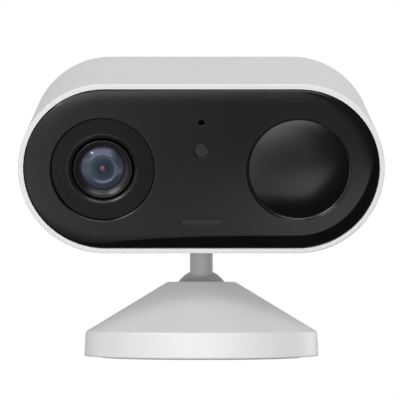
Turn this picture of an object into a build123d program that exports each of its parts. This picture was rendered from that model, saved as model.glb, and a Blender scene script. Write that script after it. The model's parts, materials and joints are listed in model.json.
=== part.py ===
from build123d import *
import os
from math import cos, radians, sin, sqrt

# A wireless security camera on a ball-joint table stand, piece by piece.
#
# The origin is the middle of the stand's foot, on the table. +Z is up and the camera looks
# along -Y, leaning forward by `lean` about the ball centre.
# Head pieces are drawn on planes of the leaning head: HEAD has its origin at the ball centre
# and its z along the stem. face_plane(d) is parallel to the camera face, d behind the rim,
# with x to the right, y up the head and z out towards the viewer.

os.makedirs("parts", exist_ok=True)

# ---------------------------------------------------------------- driving dimensions (mm)
lean = 16.5                  # forward lean of the head at rest, degrees
ball_height = 18.7           # ball centre above the table
ball_radius = 8.6
stem_radius = 3.55
stud_radius = 3.175          # quarter-inch camera screw
run_fit = 0.1                # radial clearance of turning and sliding fits

head_width = 108.0
head_height = 51.0
head_depth = 54.0
head_front = 24.0            # rim plane ahead of the stem axis
head_lift = 45.95            # head centre above the ball centre, along the stem
shell_wall = 1.5
back_wall = 2.0
back_rounding = 4.0
rim_rounding = 0.4

lens_offset = 29.1           # lens, left of the middle
motion_offset = 28.7         # motion sensor, right of the middle
eye_hole = 15.3
panel_front = -0.4           # proud of the rim
panel_thickness = 2.8
panel_gap = 0.3
panel_rounding = 1.9
mic_rise = 14.2
mic_hole = 0.9
light_pipe_rise = 5.7
light_pipe_radius = 2.2
bar_drop = 15.8
bar_length = 12.2
bar_height = 1.6

base_radius = 36.4           # foot of the stand
shoulder_radius = 36.0       # top of its upright wall
shoulder_height = 8.0
crown_radius = 10.6          # flat ring round the ball
crown_height = 23.4
base_clearance = 0.5         # shell edge above the table
base_wall = 2.0
pad_radius = 31.0
pad_thickness = 1.0
wall_screw_circle = 26.0     # pitch circle of the three wall-screw holes
wall_screw_hole = 2.25

board = 1.2                  # circuit board thickness
cell_radius = 9.1            # 18650 cells
cell_length = 65.0

# ---------------------------------------------------------------- frames worked out from them
end_radius = head_height / 2
end_offset = head_width / 2 - end_radius
inner_radius = end_radius - shell_wall
head_bottom = head_lift - end_radius
slot_length = 2 * end_offset

HEAD = Plane(
    origin=(0, 0, ball_height),
    x_dir=(1, 0, 0),
    z_dir=(0, -sin(radians(lean)), cos(radians(lean))),
)
BACKWARD = Axis(HEAD.origin, HEAD.y_dir)
STEM = Axis(HEAD.origin, HEAD.z_dir)


def head_point(x, depth, rise):
    """Point x to the right, depth behind the rim and rise above the head's middle."""
    return HEAD.from_local_coords((x, depth - head_front, head_lift + rise))


def face_plane(depth):
    """Plane parallel to the face, centred on the head, z towards the viewer."""
    return Plane(origin=head_point(0, depth, 0), x_dir=HEAD.x_dir, z_dir=-HEAD.y_dir)


def section_plane(x):
    """Plane through an eye's axis: its x is the radius and its y the depth behind the rim."""
    return Plane(origin=head_point(x, 0, 0), x_dir=HEAD.x_dir, z_dir=HEAD.z_dir)


def level_plane(rise):
    """Plane square to the stem, rise above the head's middle, its y the depth behind the stem."""
    return Plane(origin=head_point(0, head_front, rise), x_dir=HEAD.x_dir, z_dir=HEAD.z_dir)


def side_plane(x, depth, rise=0):
    """Plane square to the head's long axis: its x is the depth and its y the rise."""
    return Plane(origin=head_point(x, depth, rise), x_dir=HEAD.y_dir, z_dir=HEAD.x_dir)


lens_section = section_plane(-lens_offset)
lens_axis = Axis(lens_section.origin, lens_section.y_dir)
motion_section = section_plane(motion_offset)
motion_axis = Axis(motion_section.origin, motion_section.y_dir)
stem_section = Plane(origin=HEAD.origin, x_dir=HEAD.x_dir, z_dir=-HEAD.y_dir)

# Depths of the layers behind the rim
panel_back = panel_front + panel_thickness
frame_front = panel_back + 0.1
frame_plate = 2.0
frame_back = frame_front + frame_plate
frame_skirt_end = 8.5
frame_radius = inner_radius - panel_gap
skirt_inner = 21.6
sensor_board_depth = 21.0
motion_board_depth = 17.0
main_board_depth = 24.4
led_board_depth = 6.0
front_board_depth = 6.4
back_inside = head_depth - back_wall

# Screws of the front frame
frame_screw_x = 14.0
frame_screw_y = 19.5
frame_boss = 2.8
frame_boss_front = frame_skirt_end + 0.1
frame_boss_length = 11.0
screw_core = 0.9
tower_rise = 19.0            # standoffs of the two eye boards
tower_radius = 2.0

# Brass insert and its boss under the head
insert_radius = 4.6
insert_length = 9.5
insert_boss_radius = 7.0
insert_boss_height = 11.5
collar_radius = 8.5
collar_bottom = 16.0

# Port bay in the back
bay_width = 27.6
bay_height = 9.2
bay_drop = 17.5
bay_depth = 5.0
bay_wall = 1.5
port_row = 18.0              # socket centre line below the head's middle
usb_x = -8.3
usb_width = 9.0
usb_height = 3.2
card_x = 3.2
card_width = 11.0
card_height = 1.6
reset_x = 11.4
reset_radius = 1.0
port_board_top = port_row + usb_height / 2

# Back wall fittings
speaker_x = -28.5
speaker_radius = 12.0
button_x = 28.5
button_radius = 4.4
button_flange = 5.4
button_proud = 0.4
button_travel = 0.5
switch_post = 8.5

# ================================================================ head: outside

# White housing: one deep cup, open at the front, with its bosses and the port bay
with BuildPart() as housing_shell:
    with BuildSketch(face_plane(0)):
        SlotCenterToCenter(slot_length, head_height)
    extrude(amount=-head_depth)
    fillet(housing_shell.faces().sort_by(BACKWARD)[-1].edges(), back_rounding)
    fillet(housing_shell.faces().sort_by(BACKWARD)[0].edges(), rim_rounding)
    with BuildSketch(face_plane(0)):
        SlotCenterToCenter(slot_length, 2 * inner_radius)
    extrude(amount=-back_inside, mode=Mode.SUBTRACT)
    # four bosses for the front frame, tied to the wall by ribs
    with BuildSketch(face_plane(frame_boss_front)):
        with GridLocations(2 * frame_screw_x, 2 * frame_screw_y, 2, 2):
            Circle(frame_boss)
        with GridLocations(2 * frame_screw_x, frame_screw_y + inner_radius, 2, 2):
            Rectangle(2.0, inner_radius - frame_screw_y + 0.6)
    extrude(amount=-frame_boss_length)
    with BuildSketch(face_plane(frame_boss_front)):
        with GridLocations(2 * frame_screw_x, 2 * frame_screw_y, 2, 2):
            Circle(screw_core)
    extrude(amount=-frame_boss_length + 1, mode=Mode.SUBTRACT)
    # boss of the camera screw
    with BuildSketch(HEAD.offset(head_bottom)):
        Circle(insert_boss_radius)
    extrude(amount=insert_boss_height)
    with BuildSketch(HEAD.offset(head_bottom - 1)):
        Circle(insert_radius)
    extrude(amount=insert_length + 1.5, mode=Mode.SUBTRACT)
    # port bay: a sunk tray with the openings of the two sockets and the reset button
    with BuildSketch(face_plane(back_inside)):
        with Locations((0, -bay_drop)):
            Rectangle(bay_width + 2 * bay_wall, bay_height + 2 * bay_wall)
    extrude(amount=bay_depth + bay_wall - back_wall)
    with BuildSketch(face_plane(head_depth)):
        with Locations((0, -bay_drop)):
            RectangleRounded(bay_width, bay_height, 2.3)
    extrude(amount=bay_depth, mode=Mode.SUBTRACT)
    with BuildSketch(face_plane(head_depth - bay_depth + 1)):
        with Locations((usb_x, -port_row)):
            RectangleRounded(usb_width + 0.2, usb_height + 0.2, 1.5)
        with Locations((card_x, -port_row - (usb_height - card_height) / 2)):
            Rectangle(card_width + 0.2, card_height + 0.2)
        with Locations((reset_x, -port_row)):
            Circle(reset_radius + run_fit)
    extrude(amount=bay_wall + 2, mode=Mode.SUBTRACT)
    # speaker holes and the power button's bore
    with BuildSketch(face_plane(head_depth)):
        with Locations((button_x, 0)):
            Circle(button_radius + run_fit)
        with Locations((speaker_x, 0)):
            Circle(0.6)
            with PolarLocations(3, 6):
                Circle(0.6)
            with PolarLocations(6, 12):
                Circle(0.6)
            with PolarLocations(9, 18):
                Circle(0.6)
    extrude(amount=back_wall + 0.5, mode=Mode.SUBTRACT)
    # two posts, with pins, that carry the power switch's board
    with BuildSketch(face_plane(back_inside)):
        with Locations((button_x, switch_post), (button_x, -switch_post)):
            Circle(1.8)
    extrude(amount=5.4)
    with BuildSketch(face_plane(back_inside)):
        with Locations((button_x, switch_post), (button_x, -switch_post)):
            Circle(0.9)
    extrude(amount=6.2)
    # two posts under the port board
    with BuildSketch(level_plane(-inner_radius - 0.5)):
        with Locations((-13.5, 12), (13.5, 12)):
            Circle(1.8)
    extrude(amount=inner_radius + 0.5 - port_board_top - 1.0)
housing_shell.part.label = "housing_shell"
export_step(housing_shell.part, "parts/housing_shell.step")

# Black chassis plate with a skirt: it carries the panel, the eyes and their boards
with BuildPart() as front_frame:
    with BuildSketch(face_plane(frame_front)):
        SlotCenterToCenter(slot_length, 2 * frame_radius)
    extrude(amount=-(frame_skirt_end - frame_front))
    with BuildSketch(face_plane(frame_back)):
        SlotCenterToCenter(slot_length, 2 * skirt_inner)
    extrude(amount=-(frame_skirt_end - frame_back), mode=Mode.SUBTRACT)
    with BuildSketch(face_plane(frame_back)):
        with GridLocations(2 * frame_screw_x, 2 * frame_screw_y, 2, 2):
            Circle(frame_boss - 0.2)
    extrude(amount=-(frame_skirt_end - frame_back))
    # towers of the eye boards
    with BuildSketch(face_plane(frame_back)):
        with Locations((-lens_offset, tower_rise), (-lens_offset, -tower_rise)):
            Circle(tower_radius)
    extrude(amount=-(sensor_board_depth - frame_back))
    with BuildSketch(face_plane(frame_back)):
        with Locations((motion_offset, tower_rise), (motion_offset, -tower_rise)):
            Circle(tower_radius)
    extrude(amount=-(motion_board_depth - frame_back))
    # posts of the light ring's board and of the small front board
    with BuildSketch(face_plane(frame_back)):
        with Locations((-lens_offset, 0)):
            with PolarLocations(15.8, 3, start_angle=30):
                Circle(1.0)
    extrude(amount=-(led_board_depth - frame_back))
    with BuildSketch(face_plane(frame_back)):
        with GridLocations(12, 20, 2, 2):
            Circle(1.2)
    extrude(amount=-(front_board_depth - frame_back))
    # openings through the plate
    with BuildSketch(face_plane(frame_front)):
        with Locations((-lens_offset, 0), (motion_offset, 0)):
            Circle(eye_hole - 1.3)
        with Locations((0, mic_rise)):
            Circle(mic_hole)
        with Locations((0, light_pipe_rise)):
            Circle(light_pipe_radius)
        with Locations((0, -bar_drop)):
            SlotOverall(bar_length, bar_height)
        with GridLocations(2 * frame_screw_x, 2 * frame_screw_y, 2, 2):
            Circle(1.2)
    extrude(amount=-frame_skirt_end, mode=Mode.SUBTRACT)
    with BuildSketch(face_plane(frame_front)):
        with GridLocations(2 * frame_screw_x, 2 * frame_screw_y, 2, 2):
            Circle(2.2)
    extrude(amount=-1.5, mode=Mode.SUBTRACT)
    # groove of the face gasket
    with BuildSketch(face_plane(5.2)):
        SlotCenterToCenter(slot_length, 2 * frame_radius)
        SlotCenterToCenter(slot_length, 2 * frame_radius - 1.6, mode=Mode.SUBTRACT)
    extrude(amount=-1.2, mode=Mode.SUBTRACT)
front_frame.part.label = "front_frame"
export_step(front_frame.part, "parts/front_frame.step")

# Silicone seal in that groove, squeezed against the housing
with BuildPart() as face_gasket:
    with BuildSketch(face_plane(5.2)):
        SlotCenterToCenter(slot_length, 2 * inner_radius)
        SlotCenterToCenter(slot_length, 2 * frame_radius - 1.6, mode=Mode.SUBTRACT)
    extrude(amount=-1.2)
face_gasket.part.label = "face_gasket"
export_step(face_gasket.part, "parts/face_gasket.step")

# Glossy black panel that fills the rim, rounded off all round
with BuildPart() as face_panel:
    with BuildSketch(face_plane(panel_front)):
        SlotCenterToCenter(slot_length, 2 * frame_radius)
    extrude(amount=-panel_thickness)
    fillet(face_panel.faces().sort_by(BACKWARD)[0].edges(), panel_rounding)
    with BuildSketch(face_plane(panel_front)):
        with Locations((-lens_offset, 0), (motion_offset, 0)):
            Circle(eye_hole)
        with Locations((0, mic_rise)):
            Circle(mic_hole)
        with Locations((0, light_pipe_rise)):
            Circle(light_pipe_radius)
        with Locations((0, -bar_drop)):
            SlotOverall(bar_length, bar_height)
    extrude(amount=-panel_thickness, mode=Mode.SUBTRACT)
face_panel.part.label = "face_panel"
export_step(face_panel.part, "parts/face_panel.step")

# ================================================================ head: the lens eye

window_outer = eye_hole - 0.1
window_inner = 10.3
barrel_radius = 8.6
window_front = 0.6
bezel_front = 0.2
bezel_depth = 2.0            # where the funnel meets the barrel
barrel_front = 0.5
glass_radius = 6.9
retainer_radius = 6.5         # clear opening of the front glass
glass_back = barrel_front + 2.8
stop_back = 6.9

# Smoked ring window, sloping inward, in front of the lights
with BuildPart() as light_ring_window:
    with BuildSketch(lens_section):
        with BuildLine():
            Polyline(
                (window_inner, window_front),
                (window_outer, window_front + 0.2),
                (window_outer, frame_front),
                (eye_hole - 1.4, frame_front),
                (window_inner, frame_front + 0.6),
                close=True,
            )
        make_face()
    revolve(axis=lens_axis)
light_ring_window.part.label = "light_ring_window"
export_step(light_ring_window.part, "parts/light_ring_window.step")

# Funnel that keeps the ring's light out of the lens
with BuildPart() as lens_bezel:
    with BuildSketch(lens_section):
        with BuildLine():
            Polyline(
                (window_inner - 0.05, bezel_front),
                (window_inner - 0.05, 9.0),
                (barrel_radius + 0.5, 9.0),
                (barrel_radius + 0.5, bezel_depth),
                (window_inner - 0.4, bezel_front),
                close=True,
            )
        make_face()
    revolve(axis=lens_axis)
lens_bezel.part.label = "lens_bezel"
export_step(lens_bezel.part, "parts/lens_bezel.step")

# Barrel: a wide front with the glass seat, and a slimmer threaded neck behind
with BuildPart() as lens_barrel:
    with BuildSketch(lens_section):
        with BuildLine():
            Polyline(
                (glass_radius, barrel_front),
                (barrel_radius, barrel_front),
                (barrel_radius, 10.0),
                (7.0, 10.0),
                (7.0, 17.5),
                (4.2, 17.5),
                (4.2, 10.6),
                (4.9, 10.6),
                (4.9, stop_back),
                (glass_radius, stop_back),
                close=True,
            )
        make_face()
    revolve(axis=lens_axis)
    fillet(lens_barrel.edges().filter_by(GeomType.CIRCLE).group_by(BACKWARD)[0], 0.25)
lens_barrel.part.label = "lens_barrel"
export_step(lens_barrel.part, "parts/lens_barrel.step")

# Thin bright ring that holds the front glass
with BuildPart() as lens_retainer:
    with BuildSketch(lens_section):
        with BuildLine():
            Polyline(
                (retainer_radius, barrel_front + 0.3),
                (glass_radius, barrel_front - 0.1),
                (glass_radius, barrel_front + 1.0),
                (retainer_radius, barrel_front + 1.0),
                close=True,
            )
        make_face()
    revolve(axis=lens_axis)
lens_retainer.part.label = "lens_retainer"
export_step(lens_retainer.part, "parts/lens_retainer.step")

# Front glass: domed outside, hollowed inside
with BuildPart() as lens_front_glass:
    with BuildSketch(lens_section):
        with BuildLine():
            TangentArc((0, barrel_front - 0.8), (retainer_radius, barrel_front + 0.7), tangent=(1, 0))
            Line((retainer_radius, barrel_front + 0.7), (retainer_radius, barrel_front + 1.0))
            Line((retainer_radius, barrel_front + 1.0), (glass_radius, barrel_front + 1.0))
            Line((glass_radius, barrel_front + 1.0), (glass_radius, glass_back))
            Line((glass_radius, glass_back), (4.6, glass_back))
            TangentArc((0, barrel_front + 0.8), (4.6, glass_back), tangent=(1, 0))
            Line((0, barrel_front + 0.8), (0, barrel_front - 0.8))
        make_face()
    revolve(axis=lens_axis)
lens_front_glass.part.label = "lens_front_glass"
export_step(lens_front_glass.part, "parts/lens_front_glass.step")

# Aperture stop behind it
with BuildPart() as lens_stop:
    with BuildSketch(lens_section):
        with BuildLine():
            Polyline(
                (1.9, stop_back),
                (5.0, glass_back),
                (glass_radius, glass_back),
                (glass_radius, stop_back),
                close=True,
            )
        make_face()
    revolve(axis=lens_axis)
lens_stop.part.label = "lens_stop"
export_step(lens_stop.part, "parts/lens_stop.step")

# Middle glass, thick in the middle
with BuildPart() as lens_middle_glass:
    with BuildSketch(lens_section):
        with BuildLine():
            TangentArc((0, 7.1), (4.9, 8.4), tangent=(1, 0))
            Line((4.9, 8.4), (4.9, 9.4))
            TangentArc((0, 10.3), (4.9, 9.4), tangent=(1, 0))
            Line((0, 10.3), (0, 7.1))
        make_face()
    revolve(axis=lens_axis)
lens_middle_glass.part.label = "lens_middle_glass"
export_step(lens_middle_glass.part, "parts/lens_middle_glass.step")

# Rear glass
with BuildPart() as lens_rear_glass:
    with BuildSketch(lens_section):
        with BuildLine():
            TangentArc((0, 12.8), (4.2, 13.8), tangent=(1, 0))
            Line((4.2, 13.8), (4.2, 15.2))
            Line((4.2, 15.2), (0, 15.2))
            Line((0, 15.2), (0, 12.8))
        make_face()
    revolve(axis=lens_axis)
lens_rear_glass.part.label = "lens_rear_glass"
export_step(lens_rear_glass.part, "parts/lens_rear_glass.step")

# Square holder that the neck screws into, closed by the sensor board
with BuildPart() as lens_holder:
    with BuildSketch(face_plane(14.0)):
        with Locations((-lens_offset, 0)):
            RectangleRounded(18, 18, 2)
            Circle(7.0, mode=Mode.SUBTRACT)
    extrude(amount=-(sensor_board_depth - 14.0))
lens_holder.part.label = "lens_holder"
export_step(lens_holder.part, "parts/lens_holder.step")

with BuildPart() as image_sensor:
    with BuildSketch(face_plane(sensor_board_depth)):
        with Locations((-lens_offset, 0)):
            Rectangle(8.0, 6.4)
    extrude(amount=1.1)
    fillet(image_sensor.edges().filter_by(BACKWARD), 0.2)
image_sensor.part.label = "image_sensor"
export_step(image_sensor.part, "parts/image_sensor.step")

with BuildPart() as sensor_board:
    with BuildSketch(face_plane(sensor_board_depth)):
        with Locations((-lens_offset, 0)):
            RectangleRounded(21, 2 * tower_rise + 4, 1.5)
    extrude(amount=-board)
    with BuildSketch(face_plane(sensor_board_depth)):
        with Locations((-lens_offset, tower_rise), (-lens_offset, -tower_rise)):
            Circle(screw_core)
    extrude(amount=-board, mode=Mode.SUBTRACT)
sensor_board.part.label = "sensor_board"
export_step(sensor_board.part, "parts/sensor_board.step")

# Ring board of the lights, cut out round the bezel
with BuildPart() as led_board:
    with BuildSketch(face_plane(led_board_depth)):
        with Locations((-lens_offset, 0)):
            Circle(17.0)
            Circle(10.6, mode=Mode.SUBTRACT)
            with PolarLocations(15.8, 3, start_angle=30):
                Circle(0.7, mode=Mode.SUBTRACT)
    extrude(amount=-1.0)
led_board.part.label = "led_board"
export_step(led_board.part, "parts/led_board.step")

with BuildPart() as white_leds:
    with BuildSketch(face_plane(led_board_depth)):
        with Locations((-lens_offset, 0)):
            with PolarLocations(12.5, 8):
                Rectangle(2.8, 2.8)
    extrude(amount=0.9)
white_leds.part.label = "white_leds"
export_step(white_leds.part, "parts/white_leds.step")

with BuildPart() as infrared_leds:
    with BuildSketch(face_plane(led_board_depth)):
        with Locations((-lens_offset, 0)):
            with PolarLocations(12.5, 8, start_angle=22.5):
                Circle(0.9)
    extrude(amount=1.2)
    fillet(infrared_leds.faces().filter_by(GeomType.PLANE).group_by(BACKWARD)[0].edges(), 0.4)
infrared_leds.part.label = "infrared_leds"
export_step(infrared_leds.part, "parts/infrared_leds.step")

# ================================================================ head: the motion eye

dome_radius = 14.8
dome_front = -0.9
dome_edge = 0.9
dome_skin = 1.0

# Domed dark cover over the motion sensor
with BuildPart() as motion_dome:
    with BuildSketch(motion_section):
        with BuildLine():
            TangentArc((0, dome_front), (dome_radius, dome_edge), tangent=(1, 0))
            Line((dome_radius, dome_edge), (dome_radius, frame_front))
            Line((dome_radius, frame_front), (dome_radius - dome_skin, frame_front))
            TangentArc((0, dome_front + dome_skin), (dome_radius - dome_skin, frame_front), tangent=(1, 0))
            Line((0, dome_front + dome_skin), (0, dome_front))
        make_face()
    revolve(axis=motion_axis)
motion_dome.part.label = "motion_dome"
export_step(motion_dome.part, "parts/motion_dome.step")

# Thin trim ring round the dome
with BuildPart() as motion_ring:
    with BuildSketch(motion_section):
        with BuildLine():
            Polyline(
                (dome_radius + 0.05, dome_edge - 0.2),
                (eye_hole - 0.05, dome_edge - 0.5),
                (eye_hole - 0.05, frame_front),
                (dome_radius + 0.05, frame_front),
                close=True,
            )
        make_face()
    revolve(axis=motion_axis)
motion_ring.part.label = "motion_ring"
export_step(motion_ring.part, "parts/motion_ring.step")

# Metal can with its window
with BuildPart() as motion_sensor:
    with BuildSketch(face_plane(motion_board_depth)):
        with Locations((motion_offset, 0)):
            Circle(4.6)
    extrude(amount=0.6)
    with BuildSketch(face_plane(motion_board_depth - 0.6)):
        with Locations((motion_offset, 0)):
            Circle(4.1)
    extrude(amount=3.6)
    with BuildSketch(face_plane(motion_board_depth - 4.2)):
        with Locations((motion_offset, 0)):
            Rectangle(4.0, 3.0)
    extrude(amount=-0.3, mode=Mode.SUBTRACT)
motion_sensor.part.label = "motion_sensor"
export_step(motion_sensor.part, "parts/motion_sensor.step")

with BuildPart() as motion_board:
    with BuildSketch(face_plane(motion_board_depth)):
        with Locations((motion_offset, 0)):
            RectangleRounded(18, 2 * tower_rise + 4, 1.5)
    extrude(amount=-board)
    with BuildSketch(face_plane(motion_board_depth)):
        with Locations((motion_offset, tower_rise), (motion_offset, -tower_rise)):
            Circle(screw_core)
    extrude(amount=-board, mode=Mode.SUBTRACT)
motion_board.part.label = "motion_board"
export_step(motion_board.part, "parts/motion_board.step")

# ================================================================ head: the middle of the face

with BuildPart() as front_board:
    with BuildSketch(face_plane(front_board_depth)):
        with Locations((0, -0.5)):
            RectangleRounded(17, 37, 1.5)
        with GridLocations(12, 20, 2, 2):
            Circle(0.7, mode=Mode.SUBTRACT)
    extrude(amount=-1.0)
front_board.part.label = "front_board"
export_step(front_board.part, "parts/front_board.step")

with BuildPart() as microphone:
    with BuildSketch(face_plane(front_board_depth)):
        with Locations((0, mic_rise)):
            Rectangle(4.0, 3.0)
    extrude(amount=1.1)
microphone.part.label = "microphone"
export_step(microphone.part, "parts/microphone.step")

with BuildPart() as mic_gasket:
    with BuildSketch(face_plane(front_board_depth - 1.1)):
        with Locations((0, mic_rise)):
            Circle(2.0)
            Circle(mic_hole, mode=Mode.SUBTRACT)
    extrude(amount=front_board_depth - 1.1 - frame_back)
mic_gasket.part.label = "mic_gasket"
export_step(mic_gasket.part, "parts/mic_gasket.step")

# Clear round light pipe of the daylight sensor
with BuildPart() as light_pipe:
    with BuildSketch(face_plane(panel_front + 0.3)):
        with Locations((0, light_pipe_rise)):
            Circle(light_pipe_radius - 0.05)
    extrude(amount=-(front_board_depth - panel_front - 1.0))
    fillet(light_pipe.faces().sort_by(BACKWARD)[0].edges(), 0.25)
light_pipe.part.label = "light_pipe"
export_step(light_pipe.part, "parts/light_pipe.step")

with BuildPart() as light_sensor:
    with BuildSketch(face_plane(front_board_depth)):
        with Locations((0, light_pipe_rise)):
            Rectangle(2.0, 1.6)
    extrude(amount=0.6)
light_sensor.part.label = "light_sensor"
export_step(light_sensor.part, "parts/light_sensor.step")

# Light guide of the status bar
with BuildPart() as indicator_bar:
    with BuildSketch(face_plane(panel_front + 0.25)):
        with Locations((0, -bar_drop)):
            SlotOverall(bar_length - 0.1, bar_height - 0.1)
    extrude(amount=-(front_board_depth - panel_front - 0.95))
indicator_bar.part.label = "indicator_bar"
export_step(indicator_bar.part, "parts/indicator_bar.step")

with BuildPart() as indicator_leds:
    with BuildSketch(face_plane(front_board_depth)):
        with Locations((0, -bar_drop)):
            with GridLocations(4.0, 1.0, 3, 1):
                Rectangle(1.6, 0.8)
    extrude(amount=0.6)
indicator_leds.part.label = "indicator_leds"
export_step(indicator_leds.part, "parts/indicator_leds.step")

# ================================================================ head: power and main board

cell_depth = 36.5
cell_rises = (-6.0, 13.0)
cell_middle = sum(cell_rises) / 2
cradle_x = 19.5
cradle_plate = 3.0

with BuildPart() as battery_cells:
    with BuildSketch(side_plane(-cell_length / 2, cell_depth)):
        with Locations(*[(0, rise) for rise in cell_rises]):
            Circle(cell_radius)
    extrude(amount=cell_length)
    fillet(battery_cells.edges().filter_by(GeomType.CIRCLE), 0.6)
battery_cells.part.label = "battery_cells"
export_step(battery_cells.part, "parts/battery_cells.step")

# Nickel strips that join the cells, one at each end
with BuildPart() as cell_links:
    for end in (-1, 1):
        link_plane = Plane(
            origin=head_point(end * cell_length / 2, cell_depth, cell_middle),
            x_dir=HEAD.y_dir,
            z_dir=HEAD.x_dir * end,
        )
        with BuildSketch(link_plane):
            RectangleRounded(8, 27, 2)
        extrude(amount=0.2)
cell_links.part.label = "cell_links"
export_step(cell_links.part, "parts/cell_links.step")

# Cradle: two drilled cheeks joined by two rails, standing on the back wall
with BuildPart() as battery_cradle:
    for side in (-1, 1):
        with BuildSketch(side_plane(side * cradle_x - cradle_plate / 2, cell_depth, cell_middle)):
            RectangleRounded(20.4, 39.6, 3)
            with Locations((-10.5, 0)):
                Rectangle(0.8, 5)
            with Locations((12.0, 13.5)):
                Rectangle(7.0, 6)
            with Locations(*[(0, rise - cell_middle) for rise in cell_rises]):
                Circle(cell_radius + 0.1, mode=Mode.SUBTRACT)
        extrude(amount=cradle_plate)
    with BuildSketch(side_plane(-cradle_x, cell_depth, cell_middle)):
        with GridLocations(16.6, 1, 2, 1):
            Rectangle(2.0, 3.0)
    extrude(amount=2 * cradle_x)
battery_cradle.part.label = "battery_cradle"
export_step(battery_cradle.part, "parts/battery_cradle.step")

with BuildPart() as main_board:
    with BuildSketch(face_plane(main_board_depth)):
        with Locations((0, 4)):
            RectangleRounded(62, 33, 1.5)
        with Locations((cradle_x, cell_middle), (-cradle_x, cell_middle)):
            Circle(screw_core, mode=Mode.SUBTRACT)
    extrude(amount=-board)
main_board.part.label = "main_board"
export_step(main_board.part, "parts/main_board.step")

# Tin shield over the processor and the radio
with BuildPart() as chip_shield:
    with BuildSketch(face_plane(main_board_depth)):
        with Locations((0, 6)):
            RectangleRounded(26, 18, 1)
    extrude(amount=1.8)
    fillet(chip_shield.faces().sort_by(BACKWARD)[0].edges(), 0.3)
chip_shield.part.label = "chip_shield"
export_step(chip_shield.part, "parts/chip_shield.step")

# Strip antenna under the roof of the housing
with BuildPart() as antenna:
    with BuildSketch(level_plane(inner_radius - 1.2)):
        with Locations((0, -8.5)):
            Rectangle(21, 9)
    extrude(amount=0.6)
antenna.part.label = "antenna"
export_step(antenna.part, "parts/antenna.step")

# ================================================================ head: back wall fittings

# Flat speaker, its cone facing the holes
with BuildPart() as speaker:
    with BuildSketch(face_plane(back_inside - 0.6)):
        with Locations((speaker_x, 0)):
            Circle(speaker_radius)
    extrude(amount=1.6)
    with BuildSketch(face_plane(back_inside - 2.2)):
        with Locations((speaker_x, 0)):
            Circle(6.5)
    extrude(amount=2.4)
    with BuildSketch(face_plane(back_inside - 0.6)):
        with Locations((speaker_x, 0)):
            Circle(speaker_radius - 1.5)
    extrude(amount=0.7, mode=Mode.SUBTRACT)
speaker.part.label = "speaker"
export_step(speaker.part, "parts/speaker.step")

with BuildPart() as speaker_gasket:
    with BuildSketch(face_plane(back_inside)):
        with Locations((speaker_x, 0)):
            Circle(speaker_radius)
            Circle(speaker_radius - 1.5, mode=Mode.SUBTRACT)
    extrude(amount=0.6)
speaker_gasket.part.label = "speaker_gasket"
export_step(speaker_gasket.part, "parts/speaker_gasket.step")

# Round power button, flanged behind the wall
button_flange_depth = back_inside - 0.1
with BuildPart() as power_button:
    with BuildSketch(face_plane(head_depth + button_proud)):
        with Locations((button_x, 0)):
            Circle(button_radius)
    extrude(amount=head_depth + button_proud - button_flange_depth)
    fillet(power_button.faces().sort_by(BACKWARD)[-1].edges(), 0.4)
    with BuildSketch(face_plane(button_flange_depth)):
        with Locations((button_x, 0)):
            Circle(button_flange)
    extrude(amount=0.9)
power_button.part.label = "power_button"
export_step(power_button.part, "parts/power_button.step")

# Its switch, a hair more than the travel behind the flange
switch_top = button_flange_depth - 0.9 - button_travel - 0.1
button_board_depth = back_inside - 5.4
with BuildPart() as power_switch:
    with BuildSketch(face_plane(button_board_depth)):
        with Locations((button_x, 0)):
            Rectangle(6.2, 6.2)
    extrude(amount=-3.0)
    with BuildSketch(face_plane(button_board_depth + 3.0)):
        with Locations((button_x, 0)):
            Circle(1.7)
    extrude(amount=-(switch_top - button_board_depth - 3.0))
power_switch.part.label = "power_switch"
export_step(power_switch.part, "parts/power_switch.step")

with BuildPart() as button_board:
    with BuildSketch(face_plane(button_board_depth)):
        with Locations((button_x, 0)):
            RectangleRounded(10, 2 * switch_post + 5, 1)
            with Locations((0, switch_post), (0, -switch_post)):
                Circle(0.9, mode=Mode.SUBTRACT)
    extrude(amount=0.8)
button_board.part.label = "button_board"
export_step(button_board.part, "parts/button_board.step")

# ================================================================ head: port bay

bay_floor = head_depth - bay_depth

# Board that lies under the sockets
with BuildPart() as port_board:
    with BuildSketch(level_plane(-port_board_top - 1.0)):
        with Locations((0, bay_floor - bay_wall - head_front - 8.0)):
            RectangleRounded(32, 15.8, 1)
    extrude(amount=1.0)
port_board.part.label = "port_board"
export_step(port_board.part, "parts/port_board.step")

# Charging socket: an oval steel sleeve with its tongue
with BuildPart() as usb_port:
    with BuildSketch(face_plane(bay_floor - 0.2)):
        with Locations((usb_x, -port_row)):
            RectangleRounded(usb_width, usb_height, 1.45)
    extrude(amount=7.3)
    with BuildSketch(face_plane(bay_floor - 0.2)):
        with Locations((usb_x, -port_row)):
            RectangleRounded(usb_width - 0.6, usb_height - 0.6, 1.15)
            Rectangle(usb_width - 2.3, 0.7, mode=Mode.SUBTRACT)
    extrude(amount=6.3, mode=Mode.SUBTRACT)
usb_port.part.label = "usb_port"
export_step(usb_port.part, "parts/usb_port.step")

# Memory card socket
with BuildPart() as card_slot:
    with BuildSketch(face_plane(bay_floor - 0.2)):
        with Locations((card_x, -port_row - (usb_height - card_height) / 2)):
            Rectangle(card_width, card_height)
            Rectangle(card_width - 0.8, card_height - 0.6, mode=Mode.SUBTRACT)
    extrude(amount=13.0)
    with BuildSketch(face_plane(bay_floor - 13.2)):
        with Locations((card_x, -port_row - (usb_height - card_height) / 2)):
            Rectangle(card_width, card_height)
    extrude(amount=1.0)
card_slot.part.label = "card_slot"
export_step(card_slot.part, "parts/card_slot.step")

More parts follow.
